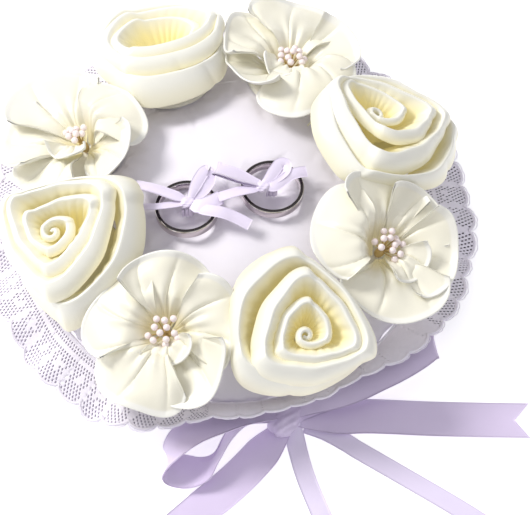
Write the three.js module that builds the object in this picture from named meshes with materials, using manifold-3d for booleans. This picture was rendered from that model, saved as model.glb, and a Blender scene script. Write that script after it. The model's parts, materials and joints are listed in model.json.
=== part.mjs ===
// Ring bearer pillow: a round satin cushion edged with gathered lace, a wreath of eight ribbon flowers
// sewn round its top, two wedding rings tied down in the middle, and a ribbon bow at the front of the rim.
// Millimetres, +Z up. The origin is the centre of the flat underside, and -Y is the front, where the bow is.
import * as THREE from "three";
import { mergeVertices } from "three/addons/utils/BufferGeometryUtils.js";
import Module from "manifold-3d";

const wasm = await Module();
wasm.setup();

// ---- Driving dimensions ----
const CUSHION_RADIUS = 68;
const SEAM_HEIGHT = 14;
const CUSHION_HEIGHT = 34;
const REST_RADIUS = 46; // the flat part of the underside
const COVER_THICKNESS = 0.9;
const GAP = 0.35; // between pieces that touch

const LACE_WIDTH = 18;
const LACE_THICKNESS = 0.9;
const LACE_WAVES = 18;

const FLOWER_COUNT = 8;
const FLOWER_RING_RADIUS = 53;
const FLOWER_TILT = THREE.MathUtils.degToRad(20); // outwards, as the cushion slopes
const FLOWER_SECTOR = Math.PI / FLOWER_COUNT; // half the angle that one flower has on the cushion
const FIRST_FLOWER_ANGLE = THREE.MathUtils.degToRad(23.5);
const BACKING_RADIUS = 15;
const BACKING_THICKNESS = 1.2;

const ROSE_TURNS = 3.3;
const ROSE_RIM_RADIUS = 27;
const ROSE_BASE_RADIUS = 12;
const ROSE_HEIGHT = 21;

const PETAL_COUNT = 5;
const PETAL_REACH = 27.5;
const PEARL_RADIUS = 1.1;
const PEARL_COUNT = 11;
const HUB_HEIGHT = 5;
const STEM_LENGTH = 7.5;

const RING_INNER_RADIUS = 9.2;
const RING_OUTER_RADIUS = 10.9;
const RING_WIDTH = 3.8;
const TIE_WIDTH = 4;

const BOW_RIBBON_WIDTH = 12.5;
const NARROW_RIBBON_WIDTH = 6.5;
const RIBBON_THICKNESS = 0.6;
const BOW_CENTRE = new THREE.Vector3(20.5, -68.5, 5);

// ---- Colours and finishes ----
const finish = (color, roughness, metalness = 0) =>
  new THREE.MeshStandardMaterial({ color, roughness, metalness, side: THREE.DoubleSide });
const PALE_SATIN = finish(0xf1ecf7, 0.42);
const IVORY_SATIN = finish(0xf3eed6, 0.4);
const IVORY_ORGANZA = finish(0xf5f1e2, 0.5);
const LILAC_SATIN = finish(0xc3b4d6, 0.38);
const LILAC_TIE = finish(0xded2ee, 0.42);
const LACE_THREAD = finish(0xe6dcf0, 0.75);
const FELT = finish(0xf2eddd, 0.95);
const FIBREFILL = finish(0xfafafa, 1.0);
const PEARL = finish(0xf2dfdc, 0.22);
const SILVER = finish(0xd6d6da, 0.12, 1);

// ---- Helpers ----
const polar = (radius, angle, height = 0) =>
  new THREE.Vector3(radius * Math.cos(angle), radius * Math.sin(angle), height);
const mix = THREE.MathUtils.lerp;

function piece(name, geometry, material) {
  const made = new THREE.Mesh(geometry, material);
  made.name = name;
  return made;
}

// Turns an indexed geometry's faces round when they point inwards.
function facingOut(geometry) {
  const at = geometry.attributes.position;
  const index = geometry.index.array;
  const [a, b, c] = [new THREE.Vector3(), new THREE.Vector3(), new THREE.Vector3()];
  let volume = 0;
  for (let i = 0; i < index.length; i += 3) {
    a.fromBufferAttribute(at, index[i]);
    b.fromBufferAttribute(at, index[i + 1]);
    c.fromBufferAttribute(at, index[i + 2]);
    volume += a.dot(b.cross(c));
  }
  if (volume < 0) {
    for (let i = 0; i < index.length; i += 3) {
      [index[i + 1], index[i + 2]] = [index[i + 2], index[i + 1]];
    }
  }
  geometry.computeVertexNormals();
  return geometry;
}

// A closed solid of that thickness around surface(u, v), for u and v from 0 to 1. wrap joins u = 1 to u = 0.
function clothSolid(surface, rows, columns, thickness, wrap = false) {
  const step = 1e-3;
  const positions = [];
  const lines = wrap ? rows : rows + 1;
  for (let side = 1; side >= -1; side -= 2) {
    for (let i = 0; i < lines; i++) {
      for (let j = 0; j <= columns; j++) {
        const [u, v] = [i / rows, j / columns];
        const [u0, u1] = wrap ? [u - step, u + step] : [Math.max(0, u - step), Math.min(1, u + step)];
        const [v0, v1] = [Math.max(0, v - step), Math.min(1, v + step)];
        const along = surface(u1, v).sub(surface(u0, v));
        const across = surface(u, v1).sub(surface(u, v0));
        const normal = along.cross(across).normalize();
        positions.push(...surface(u, v).addScaledVector(normal, (side * thickness) / 2));
      }
    }
  }
  const count = lines * (columns + 1);
  const at = (i, j, under) => (i % lines) * (columns + 1) + j + (under ? count : 0);
  const index = [];
  const quad = (a, b, c, d) => index.push(a, b, c, a, c, d);
  for (let i = 0; i < rows; i++) {
    for (let j = 0; j < columns; j++) {
      quad(at(i, j), at(i + 1, j), at(i + 1, j + 1), at(i, j + 1));
      quad(at(i, j, true), at(i, j + 1, true), at(i + 1, j + 1, true), at(i + 1, j, true));
    }
    quad(at(i, 0), at(i, 0, true), at(i + 1, 0, true), at(i + 1, 0));
    quad(at(i, columns), at(i + 1, columns), at(i + 1, columns, true), at(i, columns, true));
  }
  if (!wrap) {
    for (let j = 0; j < columns; j++) {
      quad(at(0, j), at(0, j + 1), at(0, j + 1, true), at(0, j, true));
      quad(at(rows, j), at(rows, j, true), at(rows, j + 1, true), at(rows, j + 1));
    }
  }
  const geometry = new THREE.BufferGeometry();
  geometry.setAttribute("position", new THREE.Float32BufferAttribute(positions, 3));
  geometry.setIndex(index);
  return facingOut(geometry);
}

// A ribbon along a smooth curve. Each stop is [x, y, z, then the way its width runs as x, y, z]. The ribbon
// is gathered to half its width at an end that goes into a knot, and its last end can have a V cut in it.
function ribbon(stops, width, rows, { gathered = 0, notch = 0 } = {}) {
  const places = stops.map(([x, y, z]) => new THREE.Vector3(x, y, z));
  const path = new THREE.CatmullRomCurve3(places, false, "centripetal");
  const across = new THREE.CatmullRomCurve3(stops.map((s) => new THREE.Vector3(...s.slice(3))));
  const lastStop = (rows - 1) / rows;
  return clothSolid((u, v) => {
    const side = 2 * v - 1;
    const fromKnot = gathered === 2 ? Math.min(u, 1 - u) : u;
    const spread = gathered ? mix(0.5, 1, THREE.MathUtils.smoothstep(fromKnot, 0, 0.22)) : 1;
    const cut = u > lastStop ? (notch * (1 - Math.abs(side)) * (u - lastStop)) / (1 - lastStop) : 0;
    const along = path.getTangent(u);
    const wide = across.getPoint(u);
    wide.addScaledVector(along, -wide.dot(along)).normalize();
    return path.getPoint(u).addScaledVector(wide, (side * spread * width) / 2).addScaledVector(along, -cut);
  }, rows, notch ? 2 : 1, RIBBON_THICKNESS);
}

function solidOf(geometry) {
  const bare = new THREE.BufferGeometry();
  bare.setAttribute("position", geometry.attributes.position);
  bare.setIndex(geometry.index);
  const merged = mergeVertices(bare, 1e-4);
  return new wasm.Manifold(new wasm.Mesh({
    numProp: 3,
    vertProperties: merged.attributes.position.array,
    triVerts: new Uint32Array(merged.index.array),
  }));
}

function geometryOf(solid) {
  const mesh = solid.getMesh();
  const geometry = new THREE.BufferGeometry();
  geometry.setAttribute("position", new THREE.BufferAttribute(mesh.vertProperties, 3));
  geometry.setIndex(new THREE.BufferAttribute(mesh.triVerts, 1));
  geometry.computeVertexNormals();
  return geometry;
}

const joined = (geometries) =>
  geometryOf(geometries.map(solidOf).reduce((whole, next) => whole.add(next)));

// ---- Cushion ----
// The height of the cushion's top, and of its underside, at a distance from its axis.
const topHeight = (radius) =>
  SEAM_HEIGHT + (CUSHION_HEIGHT - SEAM_HEIGHT) * Math.max(0, 1 - (radius / CUSHION_RADIUS) ** 2.2) ** 0.6;
function undersideHeight(radius) {
  const share = Math.max(0, (radius - REST_RADIUS) / (CUSHION_RADIUS - REST_RADIUS));
  return SEAM_HEIGHT * (1 - Math.sqrt(Math.max(0, 1 - share ** 1.6)));
}

const COVER_RADII = [0, 18, 34, REST_RADIUS, 55, 61, 65.5, CUSHION_RADIUS];

function lathe(points, segments = 28) {
  const geometry = new THREE.LatheGeometry(points.map(([r, z]) => new THREE.Vector2(r, z)), segments);
  return geometry.rotateX(Math.PI / 2);
}

// One half of the cushion's outline, drawn in towards its middle, from the axis to the seam.
function outline(height, inset, seam) {
  const rise = height(0) - SEAM_HEIGHT;
  const across = (CUSHION_RADIUS - inset) / CUSHION_RADIUS;
  const up = (rise - Math.sign(rise) * inset) / rise;
  const points = COVER_RADII.map((r) => [r * across, SEAM_HEIGHT + (height(r) - SEAM_HEIGHT) * up]);
  points.at(-1)[1] = seam;
  return points;
}

const topCover = () => lathe([
  ...outline(topHeight, COVER_THICKNESS, SEAM_HEIGHT + GAP / 2),
  ...outline(topHeight, 0, SEAM_HEIGHT + GAP / 2).reverse(),
]);
const bottomCover = () => lathe([
  ...outline(undersideHeight, 0, SEAM_HEIGHT - GAP / 2),
  ...outline(undersideHeight, COVER_THICKNESS, SEAM_HEIGHT - GAP / 2).reverse(),
]);
const filling = () => lathe([
  ...outline(undersideHeight, COVER_THICKNESS + GAP, SEAM_HEIGHT),
  ...outline(topHeight, COVER_THICKNESS + GAP, SEAM_HEIGHT).reverse().slice(1),
]);

function cushion() {
  const group = new THREE.Group();
  group.add(piece("cushion_bottom_cover", bottomCover(), PALE_SATIN));
  group.add(piece("cushion_top_cover", topCover(), PALE_SATIN));
  group.add(piece("cushion_filling", filling(), FIBREFILL));
  return group;
}

// ---- Lace ----
// The lace hangs from the seam in waves. It is lifted over the bow's loops, and tucked in behind the knot,
// under the edges of the flowers.
const BOW_ANGLE = Math.atan2(BOW_CENTRE.y, BOW_CENTRE.x);
const LACE_START = CUSHION_RADIUS + 0.8;
const LACE_DROP = 7.5; // from the seam to the free edge
const LACE_LIFT = 6; // the same over the bow, upwards

// 1 at an angle on the rim, falling to 0 beyond halfAngle to each side of it.
function nearAngle(angle, centre, halfAngle, sharpness) {
  const apart = Math.atan2(Math.sin(angle - centre), Math.cos(angle - centre));
  return Math.exp(-((apart / halfAngle) ** sharpness));
}

function laceEdging() {
  const surface = (u, v) => {
    const angle = 2 * Math.PI * u;
    const lifted = nearAngle(angle, BOW_ANGLE + 0.12, 0.78, 4);
    const tucked = nearAngle(angle, BOW_ANGLE - 0.03, 0.56, 6);
    const wave = 2.2 * Math.sin(LACE_WAVES * angle) * (1 - 0.6 * lifted);
    const radius = LACE_START + v * LACE_WIDTH * (1 - 0.25 * lifted - 0.37 * tucked);
    const fall = mix(-LACE_DROP, LACE_LIFT, lifted) - 1.5 * tucked + wave;
    return polar(radius, angle, SEAM_HEIGHT + v * fall);
  };
  return piece("lace_edging", clothSolid(surface, 4 * LACE_WAVES, 1, LACE_THICKNESS, true), LACE_THREAD);
}

// ---- Flowers ----
// A flower's own frame stands on the cushion: +X is outwards down the slope, and +Z is the flower's axis.
// Flowers press against their neighbours, so a point is pressed in to stay between its sector's two sides.
function pressed(point) {
  const radius = FLOWER_RING_RADIUS + point.x * Math.cos(FLOWER_TILT) + point.z * Math.sin(FLOWER_TILT);
  const limit = radius * Math.tan(FLOWER_SECTOR) - 2 * GAP;
  point.y /= (1 + Math.abs(point.y / limit) ** 6) ** (1 / 6);
  return point;
}

function backing(name) {
  const disc = new THREE.CylinderGeometry(BACKING_RADIUS, BACKING_RADIUS, BACKING_THICKNESS, 16);
  disc.rotateX(Math.PI / 2).translate(0, 0, GAP + BACKING_THICKNESS / 2);
  return piece(name, disc, FELT);
}

const FLOWER_FLOOR = 2 * GAP + BACKING_THICKNESS;

// One ribbon stood on edge and wound outwards from the bud, each turn leaning further out.
function roseRibbon(name, turnedBy) {
  const thickness = 1;
  const surface = (u, v) => {
    const angle = 2 * Math.PI * ROSE_TURNS * u + turnedBy;
    const corners = 1 + 0.05 * u * Math.cos(3 * (angle - turnedBy));
    const foot = mix(1.2, ROSE_BASE_RADIUS, u);
    const rim = mix(1.9, ROSE_RIM_RADIUS, u ** 1.1) * corners;
    const rise = ROSE_HEIGHT * (0.78 + 0.7 * u - 0.85 * u * u);
    const radius = foot + (rim - foot) * Math.sin((v * Math.PI) / 2) ** 0.8;
    return pressed(polar(radius, angle, FLOWER_FLOOR + thickness / 2 + rise * v));
  };
  return piece(name, clothSolid(surface, Math.round(12 * ROSE_TURNS), 3, thickness), IVORY_SATIN);
}

function rose(number, turnedBy) {
  const group = new THREE.Group();
  group.add(backing(`rose_${number}_backing`), roseRibbon(`rose_${number}_ribbon`, turnedBy));
  return group;
}

// A petal fans out from the flower's middle. One of its sides is high and the other low, so that it laps
// over one neighbour and under the other.
function petal(name, { angle, halfAngle, reach, rise, floor, lap }) {
  const inner = 3;
  const thickness = 0.8;
  const surface = (u, v) => {
    const side = 2 * u - 1;
    const end = reach * (1 - 0.12 * side ** 2 - 0.1 * side ** 4);
    const radius = mix(inner, end, v);
    const spread = halfAngle * (0.72 + 0.28 * Math.sin((v * Math.PI) / 2));
    const height = floor + rise * v ** 1.5 + lap * side * radius;
    return pressed(polar(radius, angle + side * spread, height));
  };
  return piece(name, clothSolid(surface, 4, 4, thickness), IVORY_ORGANZA);
}

// Pearls on short stems that fan out of one hub.
function stamens(name) {
  const hub = new THREE.CylinderGeometry(1.5, 1.5, HUB_HEIGHT, 6);
  const parts = [hub.rotateX(Math.PI / 2).translate(0, 0, FLOWER_FLOOR + HUB_HEIGHT / 2)];
  const goldenAngle = Math.PI * (3 - Math.sqrt(5));
  for (let i = 0; i < PEARL_COUNT; i++) {
    const lean = 0.75 * Math.sqrt((i + 0.4) / PEARL_COUNT);
    const stem = new THREE.CylinderGeometry(0.3, 0.3, STEM_LENGTH, 4);
    stem.translate(0, STEM_LENGTH / 2, 0).rotateX(Math.PI / 2);
    const pearl = new THREE.OctahedronGeometry(PEARL_RADIUS, 1).translate(0, 0, STEM_LENGTH);
    for (const part of [stem, mergeVertices(pearl.deleteAttribute("normal").deleteAttribute("uv"))]) {
      part.rotateY(lean).rotateZ(i * goldenAngle).translate(0, 0, FLOWER_FLOOR + HUB_HEIGHT - 1);
      parts.push(part);
    }
  }
  return piece(name, joined(parts), PEARL);
}

function blossom(number, turnedBy) {
  const group = new THREE.Group();
  group.add(backing(`blossom_${number}_backing`), stamens(`blossom_${number}_stamens`));
  for (let i = 0; i < PETAL_COUNT; i++) {
    group.add(petal(`blossom_${number}_petal_${i + 1}`, {
      angle: turnedBy + (2 * Math.PI * i) / PETAL_COUNT,
      halfAngle: THREE.MathUtils.degToRad(42),
      reach: PETAL_REACH,
      rise: 6,
      floor: FLOWER_FLOOR + 3.2,
      lap: 0.17,
    }));
  }
  group.add(petal(`blossom_${number}_inner_petal`, {
    angle: turnedBy + Math.PI,
    halfAngle: THREE.MathUtils.degToRad(52),
    reach: 12,
    rise: 7,
    floor: FLOWER_FLOOR + 6.2,
    lap: 0.04,
  }));
  return group;
}

function wreath() {
  const group = new THREE.Group();
  for (let i = 0; i < FLOWER_COUNT; i++) {
    const number = Math.floor(i / 2) + 1;
    const flower = i % 2 === 0 ? rose(number, 1.1 * i) : blossom(number, 0.9 * i);
    flower.rotation.y = FLOWER_TILT;
    const seat = new THREE.Group();
    const angle = FIRST_FLOWER_ANGLE + 2 * FLOWER_SECTOR * i;
    seat.position.copy(polar(FLOWER_RING_RADIUS, angle, topHeight(FLOWER_RING_RADIUS)));
    seat.rotation.z = angle;
    seat.add(flower);
    group.add(seat);
  }
  return group;
}

// ---- Rings and their ties ----
// Each ring stands on the cushion in a frame of its own, tipped a little with the slope it lies on.
const RING_SEATS = [
  { side: "left", centre: [-14, -8.5], tip: [-0.04, 0.12], turn: 3.25 },
  { side: "right", centre: [14.2, -0.5], tip: [0.05, 0.1], turn: 0.35 },
];
const RING_FLOOR = 2; // the underside of the band above the cushion, at the ring's middle

function ring(name) {
  const half = RING_WIDTH / 2;
  const crown = 0.35;
  const comfort = 0.25;
  const profile = [
    [RING_INNER_RADIUS + comfort, -half],
    [RING_OUTER_RADIUS - crown, -half],
    [RING_OUTER_RADIUS, -half * 0.45],
    [RING_OUTER_RADIUS, half * 0.45],
    [RING_OUTER_RADIUS - crown, half],
    [RING_INNER_RADIUS + comfort, half],
    [RING_INNER_RADIUS, 0],
    [RING_INNER_RADIUS + comfort, -half],
  ];
  const band = new THREE.LatheGeometry(profile.map(([r, z]) => new THREE.Vector2(r, z)), 36);
  return piece(name, band.rotateX(Math.PI / 2).translate(0, 0, RING_FLOOR + half), SILVER);
}

// The ribbon comes up through the ring as a stalk, and is tied over the band in a bow.
const STALK_TOP = RING_FLOOR + 2.4;
const KNOT_HEIGHT = RING_FLOOR + 4.8;
const OVER_BAND = RING_FLOOR + RING_WIDTH + 1; // where the ribbon crosses the band

function tieStalk(name) {
  const stalk = new THREE.BoxGeometry(TIE_WIDTH, 1.2, STALK_TOP - GAP);
  return piece(name, stalk.translate(0, 0, (STALK_TOP + GAP) / 2), LILAC_TIE);
}

function tieBow(name) {
  const knot = new THREE.SphereGeometry(2.6, 8, 6).scale(1, 0.85, 0.75).translate(0, 0, KNOT_HEIGHT);
  const strand = (stops) => ribbon(stops, TIE_WIDTH, 8);
  const loop = (way) => strand([
    [1.2 * way, 0.6, KNOT_HEIGHT, 0, 1, 0.1],
    [6 * way, 2.4, OVER_BAND + 0.8, 0, 1, 0.1],
    [13 * way, 3.2, OVER_BAND + 1.4, 0, 1, 0.2],
    [14.6 * way, 3, OVER_BAND + 3, 0, 1, 0.3],
    [12 * way, 2.4, OVER_BAND + 4.2, 0, 1, 0.2],
    [5 * way, 1, OVER_BAND + 2.8, 0, 1, 0.1],
    [1 * way, 0.2, KNOT_HEIGHT + 0.6, 0, 1, 0.1],
  ]);
  const tail = (way) => strand([
    [1.2 * way, -0.8, KNOT_HEIGHT, 0, 1, 0],
    [7 * way, -3.6, OVER_BAND + 0.4, 0, 1, 0],
    [11 * way, -5.4, OVER_BAND + 0.3, 0, 1, 0.1],
    [15.5 * way, -6.4, OVER_BAND - 1.2, 0, 1, 0.2],
  ]);
  return piece(name, joined([knot, loop(1), loop(-1), tail(1), tail(-1)]), LILAC_TIE);
}

function tiedRing({ side, centre: [x, y], tip: [tipX, tipY], turn }) {
  const seat = new THREE.Group();
  seat.position.set(x, y, topHeight(Math.hypot(x, y)));
  const axis = new THREE.Vector3(tipX, tipY, 1).normalize();
  seat.quaternion.setFromUnitVectors(new THREE.Vector3(0, 0, 1), axis);
  const tie = new THREE.Group();
  tie.rotation.z = turn;
  tie.add(tieStalk(`${side}_tie_stalk`), tieBow(`${side}_tie_bow`));
  seat.add(ring(`${side}_ring`), tie);
  return seat;
}

// ---- Ribbon bow ----
const LOOP_STOPS = {
  bow_left_loop: [
    [15, -68.8, 7.2, 0, 0.35, 1],
    [8, -71.5, 7.2, 0, 0.35, 1],
    [-2, -75.5, 7.2, 0, 0.35, 1],
    [-11, -80, 6.9, 0, 0.5, 1],
    [-16.5, -86, 6.8, 0, 0.4, 1],
    [-13, -91.3, 6.8, 0, 0.5, 1],
    [-6, -88.5, 7, -0.2, 0.5, 1],
    [1, -82, 7, -0.2, 0.4, 1],
    [8, -76, 6.6, -0.2, 0.3, 1],
    [15, -71.6, 6.4, 0, 0.3, 1],
  ],
  bow_right_loop: [
    [26.2, -67.6, 8.6, -0.1, 0.9, 0.3],
    [37, -63, 9.8, -0.25, 0.85, 0.3],
    [49, -56.6, 10.8, -0.42, 0.86, 0.2],
    [59, -50.8, 11, -0.42, 0.86, 0.2],
    [66, -46.6, 10.9, -0.42, 0.86, 0.2],
    [69.6, -44.6, 10.1, -0.42, 0.86, 0.2],
    [70.8, -44, 8.4, -0.42, 0.86, 0.2],
    [69.6, -44.7, 6.7, -0.42, 0.86, 0.2],
    [66, -46.9, 5.9, -0.42, 0.86, 0.2],
    [58, -51.8, 6, -0.42, 0.86, 0.2],
    [48, -57.8, 6, -0.42, 0.86, 0.2],
    [37, -65, 5.8, -0.25, 0.85, 0.3],
    [26.2, -68.8, 5.8, -0.1, 0.9, 0.3],
  ],
};
const TAIL_STOPS = {
  bow_left_tail: [
    [18, -74.2, 2.9, 0.9, -0.3, 0.3],
    [13, -80, 1.2, 0.8, -0.6, 0.1],
    [4, -90, 0.55, 0.75, -0.65, 0],
    [-9, -102, 0.55, 0.75, -0.65, 0],
    [-24, -116, 0.55, 0.75, -0.65, 0],
  ],
  bow_right_tail: [
    [27.5, -70.6, 2.6, 0.1, 1, 0.2],
    [36, -70, 1.8, 0.1, 1, 0],
    [48, -67.5, 1.7, 0, 1, 0],
    [72, -68.2, 0.9, 0, 1, 0],
    [102.5, -68.3, 0.55, 0, 1, 0],
  ],
};
const NARROW_STOPS = {
  narrow_left_tail: [
    [23.5, -76.6, 1.6, 1, 0.2, 0],
    [24.2, -81, 0.8, 1, 0.3, 0],
    [26.8, -90, 0.55, 0.9, 0.4, 0],
    [31.2, -101.2, 0.55, 0.9, 0.4, 0],
    [38, -117, 0.55, 0.9, 0.4, 0],
    [44, -130, 0.55, 0.9, 0.4, 0],
  ],
  narrow_right_tail: [
    [40.4, -77.1, 0.55, 0.5, 0.85, 0],
    [44.8, -80, 0.55, 0.5, 0.85, 0],
    [58, -88, 0.55, 0.5, 0.85, 0],
    [79, -101, 0.55, 0.5, 0.85, 0],
    [100, -115.5, 0.55, 0.5, 0.85, 0],
  ],
};

const LOOP_STEPS = 26;
const TAIL_STEPS = 13;
const NOTCH_DEPTH = 5; // of the V cut in a wide tail's end
const BOW_KNOT_HALF_SIZE = [5, 4.2, 3.8];

function bow() {
  const group = new THREE.Group();
  const knot = new THREE.SphereGeometry(1, 12, 8).scale(...BOW_KNOT_HALF_SIZE);
  group.add(piece("bow_knot", knot.translate(...BOW_CENTRE), LILAC_SATIN));
  for (const [name, stops] of Object.entries(LOOP_STOPS)) {
    group.add(piece(name, ribbon(stops, BOW_RIBBON_WIDTH, LOOP_STEPS, { gathered: 2 }), LILAC_SATIN));
  }
  for (const [name, stops] of Object.entries(TAIL_STOPS)) {
    const tail = ribbon(stops, BOW_RIBBON_WIDTH, TAIL_STEPS, { gathered: 1, notch: NOTCH_DEPTH });
    group.add(piece(name, tail, LILAC_SATIN));
  }
  for (const [name, stops] of Object.entries(NARROW_STOPS)) {
    group.add(piece(name, ribbon(stops, NARROW_RIBBON_WIDTH, TAIL_STEPS), LILAC_SATIN));
  }
  return group;
}

const pillow = new THREE.Group();
pillow.add(cushion(), laceEdging(), wreath(), ...RING_SEATS.map(tiedRing), bow());
export default pillow;
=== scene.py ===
"""The looks of the ring bearer pillow: satin cushion, lace edging, ribbon flowers, tied rings and bow.

Shapes are worked out in millimetres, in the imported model's frame, and become metres as each mesh is made.
Every cloth piece is a grid of points: one direction runs along the cloth, and the other across it."""

import json
import math

import bpy
import numpy as np
from mathutils import Matrix, Vector


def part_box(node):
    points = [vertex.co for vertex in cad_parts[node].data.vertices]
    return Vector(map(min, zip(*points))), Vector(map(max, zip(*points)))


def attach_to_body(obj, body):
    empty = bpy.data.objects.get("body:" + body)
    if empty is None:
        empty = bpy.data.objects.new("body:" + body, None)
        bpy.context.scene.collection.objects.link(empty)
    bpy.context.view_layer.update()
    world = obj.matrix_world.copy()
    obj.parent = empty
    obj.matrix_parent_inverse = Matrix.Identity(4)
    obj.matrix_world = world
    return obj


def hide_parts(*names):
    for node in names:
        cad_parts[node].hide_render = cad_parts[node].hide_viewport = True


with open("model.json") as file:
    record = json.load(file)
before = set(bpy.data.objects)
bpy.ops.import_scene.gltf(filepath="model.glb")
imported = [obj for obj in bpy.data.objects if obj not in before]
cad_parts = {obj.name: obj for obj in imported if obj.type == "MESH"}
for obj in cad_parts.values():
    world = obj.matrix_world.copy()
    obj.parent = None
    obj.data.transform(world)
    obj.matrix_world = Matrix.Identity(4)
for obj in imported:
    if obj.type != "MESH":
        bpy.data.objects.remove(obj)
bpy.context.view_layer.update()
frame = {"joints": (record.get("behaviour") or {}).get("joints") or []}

MM = 0.001
TAU = 2 * math.pi
FLOWER_TILT = math.radians(20)  # outwards, as the cushion slopes
FLOWER_COUNT = 8
CLOTH_THICKNESS = 0.22
RIM_STEPS = 7  # round the rim of a folded cloth
ROOT = "pillow"


def box_mm(node):
    low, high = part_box(node)
    return np.array(low) / MM, np.array(high) / MM


def attach(piece, slot, *nodes, body=ROOT):
    """Says which nodes the piece stands for, if any, and which body it moves with. slot, what it is made of,
    is not used.
    """
    if nodes:
        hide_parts(*nodes)
    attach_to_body(piece, body)


# ---- Camera, floor and light ----
def make_camera():
    target = Vector((12.6, -17.2, 20)) * MM
    elevation = math.radians(63)
    distance = 0.6654
    data = bpy.data.cameras.new("camera")
    data.sensor_width = 36
    data.lens = 131.6
    camera = bpy.data.objects.new("camera", data)
    back = Vector((0, -math.cos(elevation), math.sin(elevation)))
    camera.location = target + back * distance
    turn = back.to_track_quat("Z", "Y") @ Matrix.Rotation(math.radians(0.6), 3, "Z").to_quaternion()
    camera.rotation_mode = "QUATERNION"
    camera.rotation_quaternion = turn
    bpy.context.scene.collection.objects.link(camera)
    bpy.context.scene.camera = camera


def add_area_light(name, place, target, size, power, colour):
    data = bpy.data.lights.new(name, "AREA")
    data.shape = "DISK"
    data.size = size
    data.energy = power
    data.color = colour
    light = bpy.data.objects.new(name, data)
    light.location = place
    light.rotation_euler = (Vector(place) - Vector(target)).to_track_quat("Z", "Y").to_euler()
    bpy.context.scene.collection.objects.link(light)


def make_light():
    middle = (0, 0, 0.02)
    add_area_light("key", (-0.68, 0.26, 0.80), middle, 0.36, 9.0, (1.0, 0.985, 0.96))
    add_area_light("fill", (0.45, -0.80, 0.60), middle, 0.9, 0.6, (0.96, 0.95, 1.0))
    world = bpy.data.worlds.new("studio")
    world.use_nodes = True
    tree = world.node_tree
    split = add_node(tree, "SeparateXYZ")
    tree.links.new(add_node(tree, "TexCoord").outputs["Generated"], split.inputs["Vector"])
    sky = add_node(tree, "MapRange", {"From Min": 0.05, "From Max": 0.6, "To Min": 0.04, "To Max": 0.76})
    tree.links.new(split.outputs["Z"], sky.inputs["Value"])
    background = tree.nodes["Background"]
    set_inputs(background, {"Color": (0.95, 0.95, 1.0, 1)})
    tree.links.new(sky.outputs["Result"], background.inputs["Strength"])
    bpy.context.scene.world = world
    bpy.context.scene.view_settings.view_transform = "Standard"


# ---- Materials ----
THREADS_PER_MM = 2.2


def set_inputs(node, values):
    for name, value in values.items():
        node.inputs[name].default_value = value


def add_node(tree, kind, values=None):
    node = tree.nodes.new(f"ShaderNode{kind}")
    set_inputs(node, values or {})
    return node


def principled(name, values):
    material = bpy.data.materials.new(name)
    material.use_nodes = True
    shader = material.node_tree.nodes["Principled BSDF"]
    set_inputs(shader, values)
    return material, material.node_tree, shader


def noise(tree, scale, detail=3.0):
    node = add_node(tree, "TexNoise", {"Scale": scale, "Detail": detail})
    tree.links.new(add_node(tree, "TexCoord").outputs["Object"], node.inputs["Vector"])
    return node.outputs["Fac"]


def mix_colours(tree, factor, low, high, blend="MIX"):
    """Each of factor, low and high is a value or a socket."""
    mix = add_node(tree, "Mix")
    mix.data_type = "RGBA"
    mix.blend_type = blend
    for socket, value in ((mix.inputs["Factor"], factor), (mix.inputs[6], low), (mix.inputs[7], high)):
        if isinstance(value, bpy.types.NodeSocket):
            tree.links.new(value, socket)
        else:
            socket.default_value = (*value, 1) if isinstance(value, tuple) else value
    return mix.outputs[2]


def bump(tree, shader, height, strength, distance):
    node = add_node(tree, "Bump", {"Strength": strength, "Distance": distance})
    tree.links.new(height, node.inputs["Height"])
    tree.links.new(node.outputs["Normal"], shader.inputs["Normal"])


def weave_height(tree):
    """Warp and weft threads, from the piece's own UVs, which are in millimetres."""
    uv = add_node(tree, "UVMap")
    waves = []
    for direction in ("X", "Y"):
        wave = add_node(tree, "TexWave", {"Scale": THREADS_PER_MM / 2, "Distortion": 0.6, "Detail": 1.0})
        wave.bands_direction = direction
        tree.links.new(uv.outputs["UV"], wave.inputs["Vector"])
        waves.append(wave.outputs["Fac"])
    both = add_node(tree, "Math")
    both.operation = "MULTIPLY_ADD"
    tree.links.new(waves[0], both.inputs[0])
    both.inputs[1].default_value = 0.35
    tree.links.new(waves[1], both.inputs[2])
    return both.outputs[0]


def satin(name, colour, painted_tone, shine=0.42, painted_glow=0.0):
    """Satin cloth. Its second colour is mixed in where the depth attribute rises: painted shade and painted
    bounced light, gold down between the folds of the roses and petals, and painted light on the lit side of
    the lace's shadow sheet.
    The emission strength given last makes a painted glow in the same places."""
    finish = {"Specular IOR Level": 0.6, "Sheen Weight": 0.25, "Sheen Roughness": 0.35}
    material, tree, shader = principled(name, finish)
    depth = add_node(tree, "Attribute")
    depth.attribute_name = "depth"
    tone = mix_colours(tree, noise(tree, 120), tuple(c * 0.93 for c in colour), colour)
    # Painted shade and painted light: the second colour is mixed in where the depth attribute rises.
    tree.links.new(mix_colours(tree, depth.outputs["Fac"], tone, painted_tone), shader.inputs["Base Color"])
    rough = add_node(tree, "MapRange", {"To Min": shine - 0.05, "To Max": shine + 0.08})
    tree.links.new(noise(tree, 400), rough.inputs["Value"])
    tree.links.new(rough.outputs["Result"], shader.inputs["Roughness"])
    # Painted glow: emission where the depth attribute rises, though the satin is no lamp.
    if painted_glow:
        lit = add_node(tree, "Math")
        lit.operation = "MULTIPLY"
        tree.links.new(depth.outputs["Fac"], lit.inputs[0])
        lit.inputs[1].default_value = painted_glow
        tree.links.new(lit.outputs[0], shader.inputs["Emission Strength"])
        set_inputs(shader, {"Emission Color": (*painted_tone, 1)})
    bump(tree, shader, weave_height(tree), 0.12, 0.0001)
    return material


def plain(name, colour, roughness, depth=0.15):
    """One colour with a fine grain in its tone and height."""
    material, tree, shader = principled(name, {"Roughness": roughness})
    grains = noise(tree, 600, 6)
    tone = mix_colours(tree, grains, tuple(c * 0.9 for c in colour), colour)
    tree.links.new(tone, shader.inputs["Base Color"])
    bump(tree, shader, grains, depth, 0.0001)
    return material


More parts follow.
